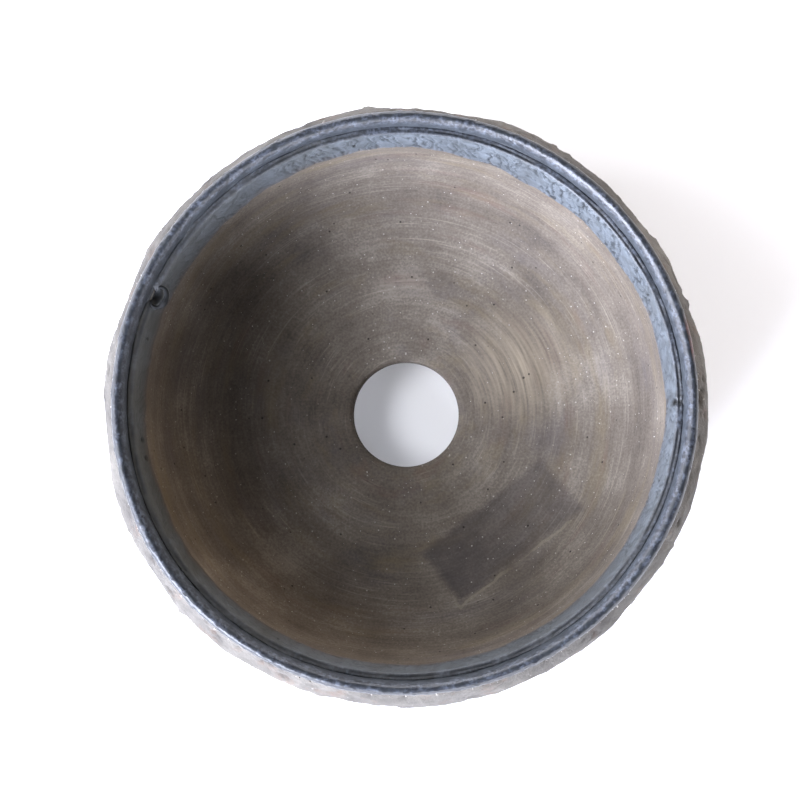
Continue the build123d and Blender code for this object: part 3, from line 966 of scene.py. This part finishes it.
def makeFoot(number, name, clay):
    # An outline of two straight sides and two round ends, drawn in towards the table by the draft and a
    # quarter circle, and let out where it joins the bowl. Then it is bent along the circle of the base.
    f = feet
    circle = footHigh.y - f["width"] / 2
    half = footHigh.x - f["width"] / 2
    height = bowl["underside"]
    # the outline, as distance along the circle and across it
    spot = np.linspace(0, 2 * math.pi, f["around"], endpoint=False)
    level = np.linspace(0, 1, f["levels"])
    z = height * level + 0.3 * mm * level
    inset = (height - z) * math.tan(f["draft"])
    inset = inset + f["edge"] * (1 - np.sqrt(np.clip(1 - (1 - np.clip(z / f["edge"], 0, 1)) ** 2, 0, 1)))
    spread = f["smear"] * step(height - 2.2 * mm, height + 0.4 * mm, z) ** 1.5
    size = f["width"] / 2 - inset + spread
    along = half * np.tanh(2.6 * np.cos(spot)) / math.tanh(2.6)
    size, z = size[:, None], z[:, None]
    points = np.stack((along + size * np.cos(spot), size * np.sin(spot), z + 0 * spot), -1)
    # caps close both ends: the last ring shrinks across to the middle line, and below also along it
    caps = [points[:1] * (1, k, 1) * (0.5 + 0.5 * k, 1, 1) for k in (0.0, 0.35, 0.7, 0.9)]
    lids = [points[-1:] * (1, k, 1) for k in (0.8, 0.4, 0.0)]
    points = np.concatenate(caps + [points] + lids)
    hump = 0.22 * mm * cloud(points + (number, 0, 0), 5 * mm, 101 + number)
    hump = hump + 0.08 * mm * cloud(points, 1.6 * mm, 111)
    # mostly across the foot, and a little along it
    out = points * (0.3, 1, 0)
    out = out / np.maximum(np.linalg.norm(out, axis=-1, keepdims=True), 0.1 * mm)
    points = points + out * (hump * step(0, 1.5 * mm, points[..., 2]))[..., None]
    points[..., 2] = np.maximum(points[..., 2], 0)
    turn = math.radians(f["firstAngle"] + 120 * number) - points[..., 0] / circle
    radius = circle + points[..., 1]
    grid = np.stack((radius * np.cos(turn), radius * np.sin(turn), points[..., 2]), -1)
    faces = ringFaces(*grid.shape[:2])[:-1].reshape(-1, 4)
    # an even touch of painted shade on the foot
    values = {"recessShade": np.full(grid.shape[:2], 0.3)}
    piece = makePiece(f"clay_{name}", grid, faces, (clay,), values=values)
    mergeClose(piece)
    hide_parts(name)


# Grit: crushed fired clay and feldspar in the body, each grain a small rough lump set in the surface.
grit = {
    "inside": 5200,
    "outside": 520,
    "edge": 170,                    # along the outer edge of the glaze
    "radius": (0.05 * mm, 0.22 * mm),
    "cluster": 9 * mm,
    "sink": 0.45,
}


def makeGrit(grid, names):
    # Grains at random points of the bowl's rows, most of them where a noise is high, each sunk into the
    # surface by a share of its size. Sizes are a random number to a high power, so few grains are large.
    g = grit
    rng = np.random.default_rng(7)
    normal = normalsOf(grid)
    places = []
    shares = {("inner", "floor", "upper"): g["inside"], ("side", "shoulder"): g["outside"]}
    for stretches, count in shares.items():
        rows = np.flatnonzero(np.isin(names, stretches))[2:-2]
        # rows nearer the axis are shorter, so they get fewer grains
        weight = np.hypot(grid[rows, 0, 0], grid[rows, 0, 1])
        i = rng.choice(rows, count, p=weight / weight.sum())
        places.append(np.stack((i, rng.integers(0, grid.shape[1], count)), 1))
    i, j = np.concatenate(places).T
    # most of the grains keep to clusters
    kept = cloud(grid[i, j], g["cluster"], 121) + rng.uniform(-0.9, 0.5, len(i)) > -0.2
    i, j = i[kept], j[kept]
    side = rng.uniform(0, 1, len(i))[:, None]
    spot = grid[i, j] * side + grid[i, (j + 1) % grid.shape[1]] * (1 - side)
    turn = rng.uniform(0, 2 * math.pi, g["edge"])
    reach = bowl["topOuter"] + rng.uniform(1.0, 1.5, g["edge"]) * mm
    level = bowl["wallTop"] - rng.uniform(0.2, 0.7, g["edge"]) * mm
    beside = outOfRound(np.stack((reach * np.cos(turn), reach * np.sin(turn), level), 1))
    spot = np.concatenate((spot, beside))
    outward = np.concatenate((normal[i, j], np.stack((np.cos(turn), np.sin(turn), 1 + 0 * turn), 1) * 0.7))
    count = len(spot)
    size = g["radius"][0] + (g["radius"][1] - g["radius"][0]) * rng.uniform(0, 1, count) ** 2.6
    size[len(i):] *= 1.6
    gold = (1 + 5**0.5) / 2
    # an icosahedron, every corner pulled in or out and every grain stretched
    corners = np.array([
        (-1, gold, 0), (1, gold, 0), (-1, -gold, 0), (1, -gold, 0), (0, -1, gold), (0, 1, gold),
        (0, -1, -gold), (0, 1, -gold), (gold, 0, -1), (gold, 0, 1), (-gold, 0, -1), (-gold, 0, 1),
    ])
    corners /= np.linalg.norm(corners[0])
    sides = np.array([
        (0, 11, 5), (0, 5, 1), (0, 1, 7), (0, 7, 10), (0, 10, 11), (1, 5, 9), (5, 11, 4), (11, 10, 2),
        (10, 7, 6), (7, 1, 8), (3, 9, 4), (3, 4, 2), (3, 2, 6), (3, 6, 8), (3, 8, 9), (4, 9, 5),
        (2, 4, 11), (6, 2, 10), (8, 6, 7), (9, 8, 1),
    ])
    stretch = rng.uniform(0.65, 1.2, (count, 1, 3))
    rough = rng.uniform(0.8, 1.15, (count, 12, 1))
    lump = corners[None] * stretch * rough * size[:, None, None]
    points = lump + (spot - outward * (g["sink"] * size)[:, None])[:, None]
    faces = (sides[None] + 12 * np.arange(count)[:, None, None]).reshape(-1, 3)
    # on the outside of the wall ash has dulled them, so none is very pale
    tone = rng.uniform(0, 1, count)
    facing = np.sum(outward[:, :2] * spot[:, :2], 1) > 0.01
    dulled = facing & (np.arange(count) < len(i))
    tone = np.repeat(np.where(dulled, 0.5 * tone, tone), 12)
    piece = makePiece("grit", points, faces, (makeGritMaterial(),), values={"tone": tone})
    piece.data.polygons.foreach_set("use_smooth", np.zeros(len(faces), bool))


def makeGritMaterial():
    # Fired feldspar and crushed brick: dull, from off-white through buff to a few dark iron grains.
    material, tree, shader = newMaterial("firedGrit")
    tone = addNode(tree, "ShaderNodeAttribute", attribute_name="tone").outputs["Fac"]
    colours = ((0.0, "#221d1a"), (0.15, "#5d564d"), (0.45, "#87817a"), (1.0, "#b9b4ac"))
    ramp = addNode(tree, "ShaderNodeValToRGB", {0: tone}, stops=colours)
    tree.links.new(ramp.outputs[0], shader.inputs["Base Color"])
    shader.inputs["Roughness"].default_value = 0.6
    return material


makeBand(glaze)
makeLip(glaze, outsideClay)
makeBubble(glaze)
for number, name in enumerate(feet["names"]):
    makeFoot(number, name, outsideClay)
makeGrit(bowlGrid, bowlNames)
print("clay and glaze made")


# A pale table, a big soft window low on the left, and a room that is bright near the level of the table
# and dim overhead, brighter on the window's side.
studio = {
    "tableColour": "#f6f6f5",
    "tableReach": 3.0,
    "windows": (
        {
            "name": "window", "turn": 224, "height": 27, "away": 1.3, "size": (0.80, 0.60),
            "watts": 81, "colour": "#e2e9ff",
        },
        {
            "name": "skylight", "turn": 185, "height": 47, "away": 1.3, "size": (0.70, 0.70),
            "watts": 17, "colour": "#f2f5ff",
        },
        # warm light off the far walls: it fills the shadows and is too dull to be mirrored in the glaze
        {
            "name": "fill", "turn": 46, "height": 17, "away": 1.3, "size": (1.00, 0.50),
            "watts": 13, "colour": "#ffe9cf", "mirrored": False,
        },
    ),
    # height of the direction, 0 level and 1 straight up, and how bright the room is there
    "room": ((0.0, 1.0), (0.13, 0.90), (0.27, 0.30), (0.42, 0.02), (1.0, 0.015)),
    "roomColour": "#f2f4ff",
    "roomStrength": 20.0,
    # the brighter side, and between which cosines of the angle from it the room goes from dim to bright
    "roomSide": {"turn": 200, "from": -0.92, "to": -0.25, "dim": 0.07, "bright": 0.92},
}


def makeStudio():
    # Each lamp stands at its angle and height and faces the pot. The room is a ramp over the height of
    # the direction, times a smooth rise towards its brighter side.
    s = studio
    mesh = bpy.data.meshes.new("table")
    r = s["tableReach"]
    mesh.from_pydata([(-r, -r, 0), (r, -r, 0), (r, r, 0), (-r, r, 0)], [], [(0, 1, 2, 3)])
    table = bpy.data.objects.new("table", mesh)
    bpy.context.scene.collection.objects.link(table)
    material, tree, shader = newMaterial("paintedTable")
    shader.inputs["Base Color"].default_value = linear(s["tableColour"])
    shader.inputs["Roughness"].default_value = 0.8
    shader.inputs["Specular IOR Level"].default_value = 0.2
    mesh.materials.append(material)

    for w in s["windows"]:
        turn, height = w["turn"] * degree, w["height"] * degree
        level = math.cos(height)
        way = Vector((math.cos(turn) * level, math.sin(turn) * level, math.sin(height)))
        light = bpy.data.lights.new(w["name"], "AREA")
        light.shape = "RECTANGLE"
        light.size, light.size_y = w["size"]
        light.energy = w["watts"]
        light.color = linear(w["colour"])[:3]
        lamp = bpy.data.objects.new(w["name"], light)
        lamp.location = way * w["away"]
        lamp.rotation_euler = way.to_track_quat("Z", "Y").to_euler()
        lamp.visible_glossy = w.get("mirrored", True)
        bpy.context.scene.collection.objects.link(lamp)

    world = bpy.data.worlds.new("room")
    bpy.context.scene.world = world
    world.use_nodes = True
    tree = world.node_tree
    tree.nodes.clear()
    way = addNode(tree, "ShaderNodeTexCoord").outputs["Generated"]
    up = addNode(tree, "ShaderNodeSeparateXYZ", {0: way}).outputs["Z"]
    ramp = addNode(tree, "ShaderNodeValToRGB", {0: up}, stops=s["room"])
    inputs = {0: 1.0, 6: ramp, 7: linear(s["roomColour"])}
    tint = addNode(tree, "ShaderNodeMix", inputs, data_type="RGBA", blend_type="MULTIPLY")
    side = s["roomSide"]
    turn = side["turn"] * degree
    inputs = {0: way, 1: (math.cos(turn), math.sin(turn), 0)}
    towards = addNode(tree, "ShaderNodeVectorMath", inputs, operation="DOT_PRODUCT")
    dim, bright = side["dim"] * s["roomStrength"], side["bright"] * s["roomStrength"]
    inputs = {0: towards, 1: side["from"], 2: side["to"], 3: dim, 4: bright}
    strength = addNode(tree, "ShaderNodeMapRange", inputs)
    back = addNode(tree, "ShaderNodeBackground", {"Color": tint, "Strength": strength})
    addNode(tree, "ShaderNodeOutputWorld", {"Surface": back})


# The camera stands half a metre over the lip, a little towards the front, and looks almost straight down.
camera = {"place": (5.6 * mm, -36 * mm, 566 * mm), "aim": (-1.2 * mm, 1.2 * mm, 51 * mm), "lens": 90.4}


def makeCamera():
    # The view's three axes are found from the aim and the world's x axis, and make up its rotation.
    data = bpy.data.cameras.new("camera")
    data.lens = camera["lens"]
    data.clip_start = 10 * mm
    holder = bpy.data.objects.new("camera", data)
    holder.location = camera["place"]
    # the x axis of the world stays level in the picture
    back = (Vector(camera["place"]) - Vector(camera["aim"])).normalized()
    right = (Vector((1, 0, 0)) - back * back.x).normalized()
    holder.rotation_euler = Matrix((right, back.cross(right), back)).transposed().to_euler()
    bpy.context.scene.collection.objects.link(holder)
    bpy.context.scene.camera = holder


makeStudio()
makeCamera()
bpy.context.scene.view_settings.view_transform = "Standard"
print("studio and camera set")
